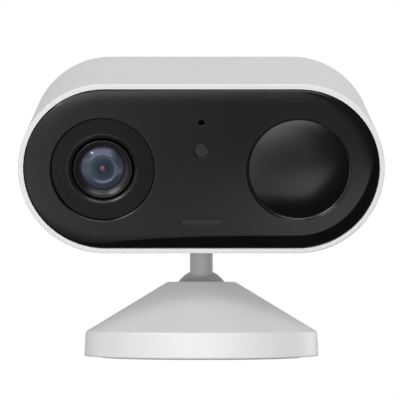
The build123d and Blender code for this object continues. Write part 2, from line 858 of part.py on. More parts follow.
# Reset button: a short pin, flanged behind the bay floor, with its switch
reset_flange_depth = bay_floor - bay_wall - 0.1
reset_travel = 0.4
with BuildPart() as reset_button:
    with BuildSketch(face_plane(bay_floor + 0.4)):
        with Locations((reset_x, -port_row)):
            Circle(reset_radius)
    extrude(amount=bay_floor + 0.4 - reset_flange_depth)
    with BuildSketch(face_plane(reset_flange_depth)):
        with Locations((reset_x, -port_row)):
            Circle(1.5)
    extrude(amount=0.5)
reset_button.part.label = "reset_button"
export_step(reset_button.part, "parts/reset_button.step")

with BuildPart() as reset_switch:
    with BuildSketch(face_plane(reset_flange_depth - 0.5 - reset_travel - 0.1)):
        with Locations((reset_x, -port_row)):
            Rectangle(3.0, usb_height)
    extrude(amount=3.5)
reset_switch.part.label = "reset_switch"
export_step(reset_switch.part, "parts/reset_switch.step")

# Soft cover with a sealing rib and a lift tab; it swings on its left edge
cover_width = bay_width - 0.6
cover_height = bay_height - 0.6
with BuildPart() as port_cover:
    with BuildSketch(face_plane(head_depth)):
        with Locations((0, -bay_drop)):
            RectangleRounded(cover_width, cover_height, 2)
    extrude(amount=1.8)
    fillet(port_cover.faces().sort_by(BACKWARD)[-1].edges(), 0.3)
    with BuildSketch(face_plane(head_depth - 1.8)):
        with Locations((0, -bay_drop)):
            RectangleRounded(cover_width - 4, cover_height - 2.4, 1.5)
            RectangleRounded(cover_width - 6, cover_height - 4.4, 0.8, mode=Mode.SUBTRACT)
    extrude(amount=1.4)
    with BuildSketch(face_plane(head_depth)):
        with Locations((cover_width / 2 - 1.2, -bay_drop)):
            SlotOverall(3.6, 1.0, rotation=90)
    extrude(amount=-0.5)
port_cover.part.label = "port_cover"
export_step(port_cover.part, "parts/port_cover.step")

# ================================================================ head: fasteners and insert

with BuildPart() as frame_screws:
    with BuildSketch(face_plane(frame_front + 0.1)):
        with GridLocations(2 * frame_screw_x, 2 * frame_screw_y, 2, 2):
            Circle(2.0)
    extrude(amount=-1.4)
    with BuildSketch(face_plane(frame_front + 1.5)):
        with GridLocations(2 * frame_screw_x, 2 * frame_screw_y, 2, 2):
            Circle(screw_core)
    extrude(amount=-12.0)
    with BuildSketch(face_plane(frame_front + 0.1)):
        with GridLocations(2 * frame_screw_x, 2 * frame_screw_y, 2, 2):
            Rectangle(2.4, 0.5)
            Rectangle(0.5, 2.4)
    extrude(amount=-0.7, mode=Mode.SUBTRACT)
frame_screws.part.label = "frame_screws"
export_step(frame_screws.part, "parts/frame_screws.step")

# Screws of the two eye boards, the light ring, the front board and the main board
eye_board_backs = ((-lens_offset, sensor_board_depth + board), (motion_offset, motion_board_depth + board))
with BuildPart() as board_screws:
    for eye_x, board_back in eye_board_backs:
        with BuildSketch(face_plane(board_back)):
            with Locations((eye_x, tower_rise), (eye_x, -tower_rise)):
                Circle(1.6)
        extrude(amount=-1.1)
        with BuildSketch(face_plane(board_back)):
            with Locations((eye_x, tower_rise), (eye_x, -tower_rise)):
                Circle(screw_core)
        extrude(amount=board)
    with BuildSketch(face_plane(led_board_depth + 1.0)):
        with Locations((-lens_offset, 0)):
            with PolarLocations(15.8, 3, start_angle=30):
                Circle(1.2)
    extrude(amount=-1.4)
    with BuildSketch(face_plane(front_board_depth + 1.0)):
        with GridLocations(12, 20, 2, 2):
            Circle(1.2)
    extrude(amount=-1.4)
    with BuildSketch(face_plane(main_board_depth)):
        with Locations((cradle_x, cell_middle), (-cradle_x, cell_middle)):
            Circle(1.6)
    extrude(amount=1.1)
    with BuildSketch(face_plane(main_board_depth)):
        with Locations((cradle_x, cell_middle), (-cradle_x, cell_middle)):
            Circle(screw_core)
    extrude(amount=-board)
board_screws.part.label = "board_screws"
export_step(board_screws.part, "parts/board_screws.step")

# Brass threaded insert that takes the camera screw
with BuildPart() as tripod_insert:
    with BuildSketch(HEAD.offset(head_bottom + 0.3)):
        Circle(insert_radius)
        Circle(stud_radius + run_fit, mode=Mode.SUBTRACT)
    extrude(amount=insert_length)
tripod_insert.part.label = "tripod_insert"
export_step(tripod_insert.part, "parts/tripod_insert.step")

# ================================================================ stand: ball and socket

# Ball, stem and camera screw in one turned piece
with BuildPart() as ball_stem:
    with Locations(HEAD):
        Sphere(ball_radius)
    with BuildSketch(HEAD):
        Circle(stem_radius)
    extrude(amount=collar_bottom)
    with BuildSketch(HEAD.offset(collar_bottom)):
        Circle(stud_radius)
    extrude(amount=head_bottom - collar_bottom + insert_length - 0.5)
    chamfer(ball_stem.faces().sort_by(STEM)[-1].edges(), 0.6)
ball_stem.part.label = "ball_stem"
export_step(ball_stem.part, "parts/ball_stem.step")

# Locking collar between the stem's shoulder and the head
with BuildPart() as stem_collar:
    with BuildSketch(stem_section):
        with BuildLine():
            Polyline(
                (stud_radius, collar_bottom),
                (collar_radius - 1.2, collar_bottom),
                (collar_radius, collar_bottom + 1.2),
                (collar_radius, head_bottom - run_fit),
                (stud_radius, head_bottom - run_fit),
                close=True,
            )
        make_face()
    revolve(axis=STEM)
stem_collar.part.label = "stem_collar"
export_step(stem_collar.part, "parts/stem_collar.step")

socket_bore = 10.5
socket_roof = 3.6            # underside of the crown, above the ball centre
liner_bottom = -5.5
liner_gap = 0.05

# Slippery liner round the ball's belly: it turns in the socket with the ball
with BuildPart() as socket_liner:
    with BuildSketch(Plane.XY.offset(ball_height + liner_bottom)):
        Circle(socket_bore - run_fit)
    extrude(amount=socket_roof - 0.1 - liner_bottom)
    with Locations((0, 0, ball_height)):
        Sphere(ball_radius + liner_gap, mode=Mode.SUBTRACT)
socket_liner.part.label = "socket_liner"
export_step(socket_liner.part, "parts/socket_liner.step")

seat_bottom = ball_height - 9.8
seat_top = ball_height + liner_bottom - 0.1

# Friction seat pressed up under the ball
with BuildPart() as ball_seat:
    with BuildSketch(Plane.XY.offset(seat_bottom)):
        Circle(socket_bore - 0.2)
        Circle(2.5, mode=Mode.SUBTRACT)
    extrude(amount=seat_top - seat_bottom)
    with Locations((0, 0, ball_height)):
        Sphere(ball_radius + liner_gap, mode=Mode.SUBTRACT)
ball_seat.part.label = "ball_seat"
export_step(ball_seat.part, "parts/ball_seat.step")

# Spring washer under the seat
clamp_top = 8.0
with BuildPart() as spring_washer:
    with BuildSketch(Plane.XZ):
        with BuildLine():
            Polyline(
                (4.6, seat_bottom - 0.5),
                (4.6, seat_bottom),
                (9.4, clamp_top + 0.5),
                (9.4, clamp_top),
                close=True,
            )
        make_face()
    revolve(axis=Axis.Z)
spring_washer.part.label = "spring_washer"
export_step(spring_washer.part, "parts/spring_washer.step")

clamp_screw_radius = 16.0
clamp_thickness = 2.0

# Plate that squeezes the stack, with its three screws
with BuildPart() as clamp_plate:
    with BuildSketch(Plane.XY.offset(clamp_top - clamp_thickness)):
        Circle(18.9)
        Circle(3.5, mode=Mode.SUBTRACT)
        with PolarLocations(clamp_screw_radius, 3, start_angle=90):
            Circle(1.3, mode=Mode.SUBTRACT)
    extrude(amount=clamp_thickness)
clamp_plate.part.label = "clamp_plate"
export_step(clamp_plate.part, "parts/clamp_plate.step")

with BuildPart() as clamp_screws:
    with BuildSketch(Plane.XY.offset(clamp_top - clamp_thickness - 1.5)):
        with PolarLocations(clamp_screw_radius, 3, start_angle=90):
            Circle(2.2)
    extrude(amount=1.5)
    with BuildSketch(Plane.XY.offset(clamp_top - clamp_thickness)):
        with PolarLocations(clamp_screw_radius, 3, start_angle=90):
            Circle(1.2)
    extrude(amount=8.0)
clamp_screws.part.label = "clamp_screws"
export_step(clamp_screws.part, "parts/clamp_screws.step")

# ================================================================ stand: base

cone_slope = (crown_height - shoulder_height) / (shoulder_radius - crown_radius)
cone_drop = base_wall * sqrt(1 + cone_slope**2)   # wall thickness measured straight down
inside_foot = base_radius - base_wall
inside_shoulder = shoulder_radius - base_wall
inside_top = crown_height - cone_drop - cone_slope * (socket_bore + 2.0 - crown_radius)
hook_count = 3
rib_height = 5.0
rib_thickness = 1.4

# White cone: thin walls, the ball socket under its crown, screw bosses and snap ribs
with BuildPart() as base_shell:
    with BuildSketch(Plane.XZ):
        with BuildLine():
            Polyline(
                (0, base_clearance),
                (base_radius, base_clearance),
                (shoulder_radius, shoulder_height),
                (crown_radius, crown_height),
                (0, crown_height),
                close=True,
            )
        make_face()
    revolve(axis=Axis.Z)
    fillet(base_shell.edges().filter_by(GeomType.CIRCLE).group_by(Axis.Z)[1], 0.8)
    fillet(base_shell.edges().filter_by(GeomType.CIRCLE).group_by(Axis.Z)[0], 0.4)
    fillet(base_shell.edges().filter_by(GeomType.CIRCLE).group_by(Axis.Z)[-1], 0.8)
    # hollow under the cone, with the socket tube left standing
    with BuildSketch(Plane.XZ):
        with BuildLine():
            Polyline(
                (socket_bore + 2.0, 0),
                (inside_foot, 0),
                (inside_shoulder, shoulder_height - 0.6),
                (socket_bore + 2.0, inside_top),
                close=True,
            )
        make_face()
    revolve(axis=Axis.Z, mode=Mode.SUBTRACT)
    with BuildSketch(Plane.XY):
        Circle(socket_bore + 2.0)
    extrude(amount=clamp_top + 0.2, mode=Mode.SUBTRACT)
    # three bosses for the clamp screws
    with BuildSketch(Plane.XY.offset(clamp_top)):
        with PolarLocations(clamp_screw_radius, 3, start_angle=90):
            Circle(2.9)
    extrude(amount=10.0)
    with BuildSketch(Plane.XY.offset(clamp_top)):
        with PolarLocations(clamp_screw_radius, 3, start_angle=90):
            Circle(1.2)
    extrude(amount=7.0, mode=Mode.SUBTRACT)
    # three ribs that the foot plate's hooks snap over
    with BuildSketch(Plane.XY.offset(rib_height)):
        with PolarLocations(33.7, hook_count, start_angle=30):
            Rectangle(1.8, 9)
    extrude(amount=rib_thickness)
    # socket bore, and the ball's mouth through the crown
    with BuildSketch(Plane.XY.offset(clamp_top - 1)):
        Circle(socket_bore)
    extrude(amount=ball_height + socket_roof - clamp_top + 1, mode=Mode.SUBTRACT)
    with Locations((0, 0, ball_height)):
        Sphere(ball_radius + run_fit, mode=Mode.SUBTRACT)
base_shell.part.label = "base_shell"
export_step(base_shell.part, "parts/base_shell.step")

plate_top = 2.6
hook_top = 7.4

# Foot plate: hooks at its edge, wall-screw holes, a shallow seat for the pad
with BuildPart() as base_plate:
    with BuildSketch(Plane.XY.offset(base_clearance)):
        Circle(inside_foot - 0.2)
    extrude(amount=plate_top - base_clearance)
    with BuildSketch(Plane.XY):
        Circle(pad_radius + 0.1)
    extrude(amount=pad_thickness, mode=Mode.SUBTRACT)
    with BuildSketch(Plane.XY.offset(plate_top)):
        with PolarLocations(31.4, hook_count, start_angle=30):
            Rectangle(1.4, 7)
    extrude(amount=hook_top - plate_top)
    with BuildSketch(Plane.XY.offset(rib_height + rib_thickness + 0.1)):
        with PolarLocations(32.2, hook_count, start_angle=30):
            Rectangle(2.6, 7)
    extrude(amount=hook_top - rib_height - rib_thickness - 0.1)
    with BuildSketch(Plane.XY):
        with PolarLocations(wall_screw_circle / 2, 3, start_angle=30):
            Circle(wall_screw_hole)
    extrude(amount=plate_top, mode=Mode.SUBTRACT)
base_plate.part.label = "base_plate"
export_step(base_plate.part, "parts/base_plate.step")

# Steel ballast ring
with BuildPart() as base_weight:
    with BuildSketch(Plane.XY.offset(plate_top)):
        Circle(30.2)
        Circle(19.6, mode=Mode.SUBTRACT)
    extrude(amount=5.0)
    chamfer(base_weight.edges().filter_by(GeomType.CIRCLE).group_by(Axis.Z)[-1], 0.5)
base_weight.part.label = "base_weight"
export_step(base_weight.part, "parts/base_weight.step")

# Non-slip pad, cut out over the wall-screw holes
with BuildPart() as foot_pad:
    with BuildSketch(Plane.XY):
        Circle(pad_radius)
        with PolarLocations(wall_screw_circle / 2, 3, start_angle=30):
            Circle(wall_screw_hole, mode=Mode.SUBTRACT)
    extrude(amount=pad_thickness)
foot_pad.part.label = "foot_pad"
export_step(foot_pad.part, "parts/foot_pad.step")
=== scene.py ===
import json
import math

import bmesh
import bpy
from mathutils import Matrix, Vector


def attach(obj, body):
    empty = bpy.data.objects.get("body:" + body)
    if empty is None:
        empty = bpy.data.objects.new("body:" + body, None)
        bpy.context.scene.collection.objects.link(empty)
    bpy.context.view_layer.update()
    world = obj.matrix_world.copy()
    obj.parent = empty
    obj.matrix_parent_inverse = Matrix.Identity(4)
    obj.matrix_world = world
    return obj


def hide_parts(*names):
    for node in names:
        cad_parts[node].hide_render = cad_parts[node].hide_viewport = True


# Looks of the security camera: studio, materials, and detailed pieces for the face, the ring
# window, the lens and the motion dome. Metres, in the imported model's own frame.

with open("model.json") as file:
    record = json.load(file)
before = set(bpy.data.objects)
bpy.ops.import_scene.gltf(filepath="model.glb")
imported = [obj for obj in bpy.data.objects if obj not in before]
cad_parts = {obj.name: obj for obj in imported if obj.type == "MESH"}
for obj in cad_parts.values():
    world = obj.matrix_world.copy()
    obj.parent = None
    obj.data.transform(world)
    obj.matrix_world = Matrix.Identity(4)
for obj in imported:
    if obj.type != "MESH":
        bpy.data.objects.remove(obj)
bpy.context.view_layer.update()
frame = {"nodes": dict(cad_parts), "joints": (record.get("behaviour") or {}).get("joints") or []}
nodes = frame["nodes"]
MM = 0.001

# ---------------------------------------------------------------- the leaning head's own axes
joints = {joint["name"]: joint for joint in frame["joints"]}
up = Vector(joints["swivel"]["axis"]).normalized()
back = up.cross(Vector((1, 0, 0)))
ball_centre = Vector(joints["swivel"]["pos_m"])
HEAD = Matrix.Translation(ball_centre) @ Matrix((Vector((1, 0, 0)), back, up)).transposed().to_4x4()


def extent(node):
    """Lowest and highest corner of a node along the head's own axes."""
    inverse = HEAD.inverted()
    points = [inverse @ vertex.co for vertex in nodes[node].data.vertices]
    low = Vector(min(point[i] for point in points) for i in range(3))
    high = Vector(max(point[i] for point in points) for i in range(3))
    return low, high


# front edge of the rim, height of both eyes, and where each eye sits across the head
RIM = extent("housing_shell")[0].y
panel_low, panel_high = extent("face_panel")
RISE = (panel_low.z + panel_high.z) / 2
window_low, window_high = extent("light_ring_window")
LENS_X = (window_low.x + window_high.x) / 2
dome_low, dome_high = extent("motion_dome")
MOTION_X = (dome_low.x + dome_high.x) / 2


# ---------------------------------------------------------------- mesh helpers
SHARP_ANGLE = math.radians(38)
TURN_STEPS = 160
ON_AXIS = 1e-6


def add_piece(name, bm, body, material, replaced):
    """Turns a bmesh in the head's axes into a smooth piece that rides on a body."""
    bmesh.ops.recalc_face_normals(bm, faces=bm.faces)
    mesh = bpy.data.meshes.new(name)
    bm.to_mesh(mesh)
    bm.free()
    mesh.transform(HEAD)
    mesh.materials.append(material)
    mesh.shade_smooth()
    mesh.set_sharp_from_angle(angle=SHARP_ANGLE)
    piece = bpy.data.objects.new(name, mesh)
    bpy.context.scene.collection.objects.link(piece)
    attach(piece, body)
    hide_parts(*replaced)


def turned(bm, profile, x):
    """Turns a closed profile of (radius, depth behind the rim), in mm, about an eye's axis."""
    rings = []
    for radius, depth in profile:
        if radius < ON_AXIS:
            rings.append([bm.verts.new((x, RIM + depth * MM, RISE))])
            continue
        ring = []
        for step in range(TURN_STEPS):
            angle = 2 * math.pi * step / TURN_STEPS
            ring.append(bm.verts.new((
                x + radius * MM * math.cos(angle),
                RIM + depth * MM,
                RISE + radius * MM * math.sin(angle),
            )))
        rings.append(ring)
    for first, second in zip(rings, rings[1:] + rings[:1]):
        if len(first) == 1 and len(second) == 1:
            continue
        for step in range(TURN_STEPS):
            following = (step + 1) % TURN_STEPS
            # a ring on the axis is one point, so its corners fall together
            corners = [first[step % len(first)], first[following % len(first)],
                       second[following % len(second)], second[step % len(second)]]
            unique = list(dict.fromkeys(corners))
            if len(unique) > 2:
                bm.faces.new(unique)


def arc(centre, radius, start, end, count):
    """Points of a circular arc, angles in degrees, as (radius, depth) pairs."""
    angles = [math.radians(start + (end - start) * i / count) for i in range(count + 1)]
    return [(centre[0] + radius * math.cos(a), centre[1] + radius * math.sin(a)) for a in angles]


def dome(edge_radius, apex, edge, count):
    """Points from the axis to the edge of a spherical cap, as (radius, depth) pairs."""
    sag = edge - apex
    sphere = (edge_radius**2 + sag**2) / (2 * sag)
    radii = [edge_radius * i / count for i in range(count + 1)]
    return [(radius, apex + (sphere - math.sqrt(sphere**2 - radius**2))) for radius in radii]


# ---------------------------------------------------------------- material helpers
# noise values mostly lie between these two
NOISE_LOW = 0.3
NOISE_HIGH = 0.7
# noise scales of the slow drift of tone and of the uneven gloss, on plastics and on the glass
DRIFT_SCALE = 60.0
GLOSS_SCALE = 900.0
GLASS_GLOSS_SCALE = 700.0
NOISE_ROUGHNESS = 0.55


def new_material(name):
    material = bpy.data.materials.new(name)
    material.use_nodes = True
    tree = material.node_tree
    return material, tree, tree.nodes["Principled BSDF"]


def noise(tree, scale, detail):
    coords = tree.nodes.new("ShaderNodeTexCoord")
    texture = tree.nodes.new("ShaderNodeTexNoise")
    texture.inputs["Scale"].default_value = scale
    texture.inputs["Detail"].default_value = detail
    texture.inputs["Roughness"].default_value = NOISE_ROUGHNESS
    tree.links.new(coords.outputs["Object"], texture.inputs["Vector"])
    return texture.outputs["Fac"]


def spread(tree, value, low, high):
    """Maps a noise value to a range."""
    node = tree.nodes.new("ShaderNodeMapRange")
    node.inputs["From Min"].default_value = NOISE_LOW
    node.inputs["From Max"].default_value = NOISE_HIGH
    node.inputs["To Min"].default_value = low
    node.inputs["To Max"].default_value = high
    tree.links.new(value, node.inputs["Value"])
    return node.outputs["Result"]


def two_tone(tree, value, dark, light):
    """Colour that drifts between two tones."""
    ramp = tree.nodes.new("ShaderNodeValToRGB")
    ramp.color_ramp.elements[0].position = NOISE_LOW
    ramp.color_ramp.elements[1].position = NOISE_HIGH
    ramp.color_ramp.elements[0].color = (*dark, 1)
    ramp.color_ramp.elements[1].color = (*light, 1)
    tree.links.new(value, ramp.inputs["Fac"])
    return ramp.outputs["Color"]


def bump(tree, value, distance):
    node = tree.nodes.new("ShaderNodeBump")
    node.inputs["Distance"].default_value = distance
    node.inputs["Strength"].default_value = 1.0
    tree.links.new(value, node.inputs["Height"])
    return node.outputs["Normal"]


def moulded(name, dark, light, rough, grain=9000.0, depth=4e-6, metallic=0.0, specular=0.5):
    """Moulded, painted or plated surface: fine grain, slow drift of tone, uneven gloss."""
    material, tree, shader = new_material(name)
    drift = noise(tree, DRIFT_SCALE, 4.0)
    fine = noise(tree, grain, 2.0)
    tree.links.new(two_tone(tree, drift, dark, light), shader.inputs["Base Color"])
    gloss = noise(tree, GLOSS_SCALE, 4.0)
    tree.links.new(spread(tree, gloss, *rough), shader.inputs["Roughness"])
    tree.links.new(bump(tree, fine, depth), shader.inputs["Normal"])
    shader.inputs["Metallic"].default_value = metallic
    shader.inputs["Specular IOR Level"].default_value = specular
    return material


def grey(value, tint=0.0):
    """Neutral colour, with a little blue where tint is above zero."""
    return (value, value * (1 + tint / 2), value * (1 + tint))


# ---------------------------------------------------------------- materials
white_plastic = moulded("white_plastic", grey(0.80, 0.012), grey(0.83, 0.012), (0.36, 0.46), depth=6e-6)
stem_plastic = moulded("stem_plastic", grey(0.42, 0.01), grey(0.46, 0.01), (0.34, 0.44), depth=5e-6)
silicone_white = moulded("silicone_white", grey(0.68, 0.01), grey(0.72, 0.01), (0.62, 0.72), depth=1.2e-5)
silicone_grey = moulded("silicone_grey", grey(0.34, 0.01), grey(0.38, 0.01), (0.60, 0.72), depth=1.2e-5)
pad_rubber = moulded("pad_rubber", grey(0.56), grey(0.62), (0.70, 0.85), grain=3000.0, depth=4e-5)
seal_rubber = moulded("seal_rubber", grey(0.020), grey(0.030), (0.55, 0.70), depth=1e-5)
black_plastic = moulded("black_plastic", grey(0.010), grey(0.014), (0.38, 0.52), depth=1.2e-5)
face_black = moulded("face_black", grey(0.0045), grey(0.0055), (0.045, 0.065), depth=1e-7)
dome_black = moulded("dome_black", grey(0.004), grey(0.005), (0.18, 0.20), depth=4e-8, specular=0.68)
ring_black = moulded("ring_black", grey(0.005), grey(0.008), (0.20, 0.26), grain=12000.0,
                     depth=1e-6)
barrel_black = moulded("barrel_black", grey(0.008), grey(0.013), (0.24, 0.34), grain=16000.0,
                       depth=2e-6)
trim_metal = moulded("trim_metal", grey(0.22), grey(0.30), (0.20, 0.32), metallic=1.0, depth=2e-6)
bar_smoke = moulded("bar_smoke", grey(0.020), grey(0.026), (0.30, 0.38), depth=2e-6)
pipe_smoke = moulded("pipe_smoke", grey(0.016), grey(0.022), (0.22, 0.30), depth=1e-6)
tin = moulded("tin", grey(0.55), grey(0.66), (0.24, 0.38), metallic=1.0, depth=3e-6)
zinc = moulded("zinc", grey(0.46, 0.02), grey(0.58, 0.03), (0.28, 0.44), grain=2500.0, depth=1e-5,
               metallic=1.0)
spring_steel = moulded("spring_steel", grey(0.34), grey(0.42), (0.25, 0.35), metallic=1.0)
brass = moulded("brass", (0.58, 0.38, 0.14), (0.68, 0.46, 0.18), (0.24, 0.36), metallic=1.0)
nylon = moulded("nylon", (0.66, 0.65, 0.60), (0.72, 0.71, 0.66), (0.42, 0.55))
board_green = moulded("board_green", (0.008, 0.075, 0.035), (0.012, 0.10, 0.048), (0.28, 0.42),
                      grain=2500.0, depth=2e-5)
cell_blue = moulded("cell_blue", (0.03, 0.09, 0.30), (0.04, 0.11, 0.35), (0.22, 0.34), depth=8e-6)
copper = moulded("copper", (0.55, 0.26, 0.12), (0.65, 0.34, 0.18), (0.28, 0.40), metallic=1.0)
phosphor = moulded("phosphor", (0.72, 0.58, 0.16), (0.80, 0.66, 0.22), (0.25, 0.35))
dark_resin = moulded("dark_resin", (0.04, 0.02, 0.05), (0.06, 0.03, 0.07), (0.12, 0.20))
die = moulded("die", (0.01, 0.03, 0.04), (0.03, 0.06, 0.07), (0.10, 0.18))

cad_looks = {
    white_plastic: ["housing_shell", "base_shell"],
    stem_plastic: ["stem_collar", "ball_stem"],
    silicone_white: ["port_cover"],
    silicone_grey: ["power_button"],
    pad_rubber: ["foot_pad"],
    seal_rubber: ["face_gasket", "mic_gasket", "speaker_gasket"],
    black_plastic: ["front_frame", "lens_bezel", "lens_stop", "lens_holder", "battery_cradle",
                    "power_switch", "reset_switch", "reset_button", "base_plate", "speaker",
                    "microphone"],
    face_black: ["face_panel"],
    dome_black: ["motion_dome"],
    ring_black: ["light_ring_window"],
    barrel_black: ["lens_barrel"],
    trim_metal: ["lens_retainer"],
    bar_smoke: ["indicator_bar"],
    pipe_smoke: ["light_pipe", "motion_ring"],
    tin: ["chip_shield", "usb_port", "card_slot", "motion_sensor", "cell_links",
          "frame_screws", "board_screws", "clamp_screws"],
    zinc: ["clamp_plate", "base_weight"],
    spring_steel: ["spring_washer"],
    brass: ["tripod_insert"],
    nylon: ["socket_liner", "ball_seat"],
    board_green: ["sensor_board", "led_board", "motion_board", "front_board", "main_board", "port_board",
                  "button_board"],
    cell_blue: ["battery_cells"],
    copper: ["antenna"],
    phosphor: ["white_leds", "indicator_leds"],
    dark_resin: ["infrared_leds"],
    die: ["image_sensor", "light_sensor"],
}
for material, names in cad_looks.items():
    for name in names:
        nodes[name].data.materials.clear()
        nodes[name].data.materials.append(material)

# ---------------------------------------------------------------- face panel with its pillowed edge
PANEL_RADIUS = (panel_high.z - panel_low.z) / 2 / MM
PANEL_OFFSET = (panel_high.x - panel_low.x) / 2 / MM - PANEL_RADIUS
PANEL_FRONT = (panel_low.y - RIM) / MM
PANEL_BACK = (panel_high.y - RIM) / MM
# the shoulder round the edge: width, drop and steps, then the rounded corner outside it
PILLOW_WIDTH = 4.6
PILLOW_DROP = 0.45
PILLOW_STEPS = 16
CORNER = 0.12
# rounded lips of the holes, and the room round what sits in them
LENS_LIP = 0.45
MOTION_LIP = 0.35
SMALL_LIP = 0.12
LIP_STEPS = 5
LIP_START = 0.05
MIC_RADIUS = 0.9
EYE_ROOM = 0.1
PIPE_ROOM = 0.05
pipe_low, pipe_high = extent("light_pipe")
bar_low, bar_high = extent("indicator_bar")
mic_low, mic_high = extent("microphone")


def stadium(radius, offset=PANEL_OFFSET, arc_steps=96, side_steps=24):
    """Outline of a round-ended shape, in mm."""
    points = []
    for side in (1, -1):
        for step in range(arc_steps):
            angle = math.radians(-90 * side + 180 * step / arc_steps)
            points.append((side * offset + radius * math.cos(angle), radius * math.sin(angle)))
        for step in range(side_steps):
            share = step / side_steps
            points.append((side * offset * (1 - 2 * share), side * radius))
    return points


def circle(x, rise, radius, steps):
    angles = [2 * math.pi * step / steps for step in range(steps)]
    return [(x + radius * math.cos(a), rise + radius * math.sin(a)) for a in angles]


def slot_outline(rise, length, height):
    return [(x, rise + y) for x, y in stadium(height / 2, (length - height) / 2, 16, 6)]


def loop_verts(bm, outline, depth):
    return [bm.verts.new((x * MM, RIM + depth * MM, RISE + z * MM)) for x, z in outline]


def bridge(bm, first, second):
    for i in range(len(first)):
        following = (i + 1) % len(first)
        bm.faces.new((first[i], first[following], second[following], second[i]))


def close_loop(bm, loop):
    """The loop's edges, made where they are missing."""
    return [bm.edges.get(pair) or bm.edges.new(pair) for pair in zip(loop, loop[1:] + loop[:1])]


def make_panel():
    bm = bmesh.new()
    # outside: flat middle, shoulder that bends away ever more, corner, straight edge
    shoulder = []
    for i in range(PILLOW_STEPS + 1):
        share = i / PILLOW_STEPS
        radius = PANEL_RADIUS - CORNER - PILLOW_WIDTH * (1 - share)
        shoulder.append((radius, PANEL_FRONT + PILLOW_DROP * share**2))
    shoulder.append((PANEL_RADIUS, PANEL_FRONT + PILLOW_DROP + CORNER))
    shoulder.append((PANEL_RADIUS, PANEL_BACK))
    rings = [loop_verts(bm, stadium(radius), depth) for radius, depth in shoulder]
    for first, second in zip(rings, rings[1:]):
        bridge(bm, first, second)
    # holes, each with a small rounded lip
    eye_radius = (window_high.x - window_low.x) / 2 / MM + EYE_ROOM
    pipe_radius = (pipe_high.x - pipe_low.x) / 2 / MM + PIPE_ROOM
    pipe_rise = ((pipe_low.z + pipe_high.z) / 2 - RISE) / MM
    bar_rise = ((bar_low.z + bar_high.z) / 2 - RISE) / MM
    mic_rise = ((mic_low.z + mic_high.z) / 2 - RISE) / MM
    bar_length = (bar_high.x - bar_low.x) / MM + 2 * PIPE_ROOM
    bar_height = (bar_high.z - bar_low.z) / MM + 2 * PIPE_ROOM
    holes = [
        (LENS_LIP, lambda grow: circle(LENS_X / MM, 0, eye_radius + grow, TURN_STEPS)),
        (MOTION_LIP, lambda grow: circle(MOTION_X / MM, 0, eye_radius + grow, TURN_STEPS)),
        (SMALL_LIP, lambda grow: circle(0, mic_rise, MIC_RADIUS + grow, 40)),
        (SMALL_LIP, lambda grow: circle(0, pipe_rise, pipe_radius + grow, 64)),
        (SMALL_LIP, lambda grow: slot_outline(bar_rise, bar_length + 2 * grow, bar_height + 2 * grow)),
    ]
    front_loops, back_loops = [rings[0]], [rings[-1]]
    for lip, outline in holes:
        walls = [loop_verts(bm, outline(lip + LIP_START), PANEL_FRONT)]
        for i in range(LIP_STEPS + 1):
            angle = math.radians(90 * i / LIP_STEPS)
            walls.append(loop_verts(bm, outline(lip * (1 - math.sin(angle))),
                                    PANEL_FRONT + lip * (1 - math.cos(angle))))
        walls.append(loop_verts(bm, outline(0), PANEL_BACK))
        for first, second in zip(walls, walls[1:]):
            bridge(bm, first, second)
        front_loops.append(walls[0])
        back_loops.append(walls[-1])
    for loops in (front_loops, back_loops):
        edges = [edge for loop in loops for edge in close_loop(bm, loop)]
        bmesh.ops.triangle_fill(bm, edges=edges, use_beauty=True, use_dissolve=False)
    return bm


add_piece("face_panel_pillowed", make_panel(), "head", face_black, ["face_panel"])

# ---------------------------------------------------------------- ridged ring window
WINDOW_OUTER = (window_high.x - window_low.x) / 2 / MM
WINDOW_FRONT = (window_low.y - RIM) / MM
WINDOW_BACK = (window_high.y - RIM) / MM
RING_WIDTH = 4.85
WINDOW_INNER = WINDOW_OUTER - RING_WIDTH
RIDGES = 13
RIDGE_DEPTH = 0.16
RIDGE_MARGIN = 0.15
# how far the ridges sink towards the lens, and how far the first lies under the outer edge
RING_SINK = 0.15
RING_STEP = 0.05
RING_BACK = WINDOW_BACK - 0.5


def make_window():
    """Ring whose front is cut into fine ridges, each with a flat top."""
    profile = [(WINDOW_OUTER, RING_BACK), (WINDOW_OUTER, WINDOW_FRONT)]
    pitch = (WINDOW_OUTER - WINDOW_INNER - 2 * RIDGE_MARGIN) / RIDGES
    for i in range(RIDGES):
        outer = WINDOW_OUTER - RIDGE_MARGIN - i * pitch
        depth = WINDOW_FRONT + RING_STEP + RING_SINK * (i + 0.5) / RIDGES
        profile.append((outer, depth + RIDGE_DEPTH))
        profile += [(outer - 0.25 * pitch, depth), (outer - 0.75 * pitch, depth)]
    profile += [(WINDOW_INNER, WINDOW_FRONT + RING_SINK), (WINDOW_INNER, RING_BACK)]
    bm = bmesh.new()
    turned(bm, profile, LENS_X)
    return bm


add_piece("ring_window_ridged", make_window(), "head", ring_black, ["light_ring_window"])

# ---------------------------------------------------------------- lens: funnel, barrel, glasses
barrel_low, barrel_high = extent("lens_barrel")
BARREL = (barrel_high.x - barrel_low.x) / 2 / MM
BARREL_FRONT = (barrel_low.y - RIM) / MM
BARREL_LENGTH = 6.0
BARREL_EDGE = 0.16
GLASS = 6.6
GLASS_ROOM = 0.05

# rounded front edge, a small step, a cone in to the glass, then the bore and the outer wall
bm = bmesh.new()
turned(bm, [
    *arc((BARREL - BARREL_EDGE, BARREL_FRONT + BARREL_EDGE), BARREL_EDGE, 0, -150, 8),
    (BARREL - 0.42, BARREL_FRONT + 0.24),
    (BARREL - 0.50, BARREL_FRONT + 0.42),
    (GLASS + 0.30, BARREL_FRONT + 1.30),
    (GLASS + GLASS_ROOM, BARREL_FRONT + 1.40),
    (GLASS + GLASS_ROOM, BARREL_FRONT + BARREL_LENGTH),
    (BARREL, BARREL_FRONT + BARREL_LENGTH),
], LENS_X)
add_piece("barrel_front", bm, "head", barrel_black, ["lens_barrel", "lens_retainer"])

